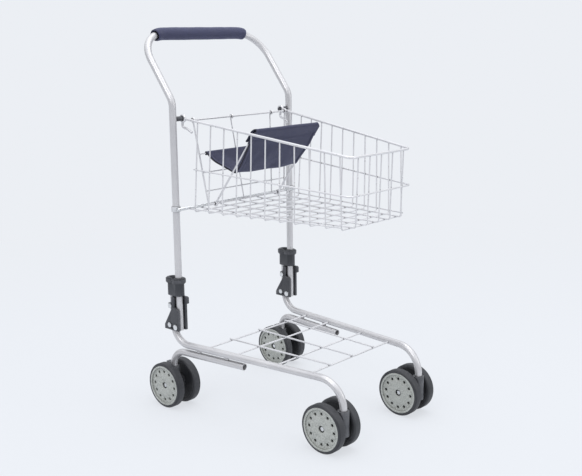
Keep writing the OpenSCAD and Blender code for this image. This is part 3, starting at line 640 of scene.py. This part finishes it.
def build_stitches(name, strip, side_span, rows):
    """Threads along a strip's two sides within side_span, and across it at each of the rows."""
    points, faces = [], []
    pitch, length = 3.2, 2.3

    def stitch(a, b, out):
        """One thread from a to b, raised a little towards out in its middle."""
        along = (b - a).normalized()
        side = along.cross(out).normalized()
        ring = 6
        start = len(points)
        stations = [(0.0, 0.05), (0.18, 0.26), (0.82, 0.26), (1.0, 0.05)]
        for share, radius in stations:
            at = a.lerp(b, share) + out * (0.12 * math.sin(math.pi * share))
            for k in range(ring):
                angle = 2 * math.pi * k / ring
                offset = (side * math.cos(angle) + out * math.sin(angle)) * radius
                points.append(place(*(at + offset)))
        for t in range(len(stations) - 1):
            for k in range(ring):
                a0 = start + t * ring + k
                a1 = start + t * ring + (k + 1) % ring
                faces.append((a0, a1, a1 + ring, a0 + ring))
        faces.append(tuple(start + k for k in reversed(range(ring))))
        last = start + (len(stations) - 1) * ring
        faces.append(tuple(last + k for k in range(ring)))

    for side in (1, -1):
        for way in (1, -1):
            run = side_span[0]
            while run + length < side_span[1]:
                n = strip.normal[strip.row_at(run)[0]] * side
                ends = [strip.near_side(r, STITCH_INSET, way, side) for r in (run, run + length)]
                stitch(*ends, Vector((n.x, 0, n.y)))
                run += pitch
        for run in rows:
            i, _ = strip.row_at(run)
            n = strip.normal[i] * side
            reach = strip.half[i] - STITCH_INSET - 1.0
            y = -reach
            while y + length < reach:
                ends = [strip.face(i, at, side) for at in (y, y + length)]
                stitch(*ends, Vector((n.x, 0, n.y)))
                y += pitch
    return new_mesh(name, points, faces, thread)


def declare_sheet(strip):
    strip.area() * MM * MM


def build_seat():
    sling, pocket = Sling(), Pocket()
    cloth = sling.build("seat_sling", seat_cloth)
    cover = pocket.build("seat_pocket", seat_cloth)
    cloth_thread = build_stitches(
        "sling_stitches", sling, (sling.first + 6.0, sling.last - 2.0), [sling.first + 4.0]
    )
    cover_thread = build_stitches("pocket_stitches", pocket, (0.0, 0.0), [3.4, pocket.last - 3.4])
    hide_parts("seat_fabric")
    for piece in (cloth, cloth_thread):
        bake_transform(piece)
    for piece in (cover, cover_thread):
        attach(piece, "seat_back")
    declare_sheet(sling)
    declare_sheet(pocket)


build_seat()


# Floor, world and lamps

BACKDROP = (0.838, 0.863, 0.905)
# The lit floor comes out about as pale as the backdrop with this share of its colour
FLOOR_SHARE = 0.78
# How much of the floor's glow shows by the cart, where it lets its soft shadow through, and in gloss
NEAR_GLOW = 0.74
GLOSS_GLOW = 0.75
# Strength of the sky at the horizon and overhead
SKY_LOW, SKY_HIGH = 0.32, 1.8
LAMPS_AIM = Vector((0, 0, 0.3))


def make_floor():
    mesh = bpy.data.meshes.new("floor")
    shape = bmesh.new()
    bmesh.ops.create_circle(shape, cap_ends=True, segments=96, radius=30.0)
    shape.to_mesh(mesh)
    shape.free()
    floor = bpy.data.objects.new("floor", mesh)
    scene.collection.objects.link(floor)
    m = Nodes("floor")
    colour = (*(FLOOR_SHARE * c for c in BACKDROP), 1.0)
    m.set(Base_Color=colour, Roughness=0.9, Specular_IOR_Level=0.0)
    rays = m.add("ShaderNodeLightPath")
    mirrored = m.maths("MULTIPLY", rays.outputs["Is Glossy Ray"], GLOSS_GLOW)
    seen = m.maths("MAXIMUM", rays.outputs["Is Camera Ray"], mirrored)
    glow = m.add("ShaderNodeEmission", Color=(*BACKDROP, 1.0), Strength=1.0)
    both = m.add("ShaderNodeMixShader")
    away = m.add("ShaderNodeVectorMath", operation="LENGTH")
    m.feed(m.place(), away.inputs[0])
    share = m.ramp(away.outputs["Value"], NEAR_GLOW, 1.0, 0.45, 1.5)
    m.feed(m.maths("MULTIPLY", seen, share), both.inputs[0])
    m.tree.links.new(m.shader.outputs[0], both.inputs[1])
    m.tree.links.new(glow.outputs[0], both.inputs[2])
    m.tree.links.new(both.outputs[0], m.output.inputs[0])
    mesh.materials.append(m.material)


def make_world():
    world = bpy.data.worlds.new("world")
    world.use_nodes = True
    scene.world = world
    tree = world.node_tree
    sky = tree.nodes["Background"]
    sky.inputs["Color"].default_value = (*BACKDROP, 1.0)
    split = tree.nodes.new("ShaderNodeSeparateXYZ")
    rise = tree.nodes.new("ShaderNodeMapRange")
    rise.inputs["To Min"].default_value = SKY_LOW
    rise.inputs["To Max"].default_value = SKY_HIGH
    tree.links.new(tree.nodes.new("ShaderNodeTexCoord").outputs["Generated"], split.inputs[0])
    tree.links.new(split.outputs["Z"], rise.inputs["Value"])
    tree.links.new(rise.outputs["Result"], sky.inputs["Strength"])
    seen = tree.nodes.new("ShaderNodeBackground")
    seen.inputs["Color"].default_value = (*BACKDROP, 1.0)
    rays = tree.nodes.new("ShaderNodeLightPath")
    mix = tree.nodes.new("ShaderNodeMixShader")
    tree.links.new(rays.outputs["Is Camera Ray"], mix.inputs[0])
    tree.links.new(sky.outputs[0], mix.inputs[1])
    tree.links.new(seen.outputs[0], mix.inputs[2])
    tree.links.new(mix.outputs[0], tree.nodes["World Output"].inputs[0])


def make_lamp(name, at, size, watts):
    data = bpy.data.lights.new(name, "AREA")
    data.shape = "DISK"
    data.size = size
    data.energy = watts
    lamp = bpy.data.objects.new(name, data)
    scene.collection.objects.link(lamp)
    lamp.location = at
    lamp.rotation_euler = (LAMPS_AIM - Vector(at)).to_track_quat("-Z", "Y").to_euler()


make_floor()
make_world()
make_lamp("key", (0.4, -1.9, 1.9), 1.1, 11.0)
make_lamp("top", (0.2, 0.3, 2.4), 1.4, 10.0)
make_lamp("fill", (2.0, 0.9, 1.0), 1.2, 6.0)
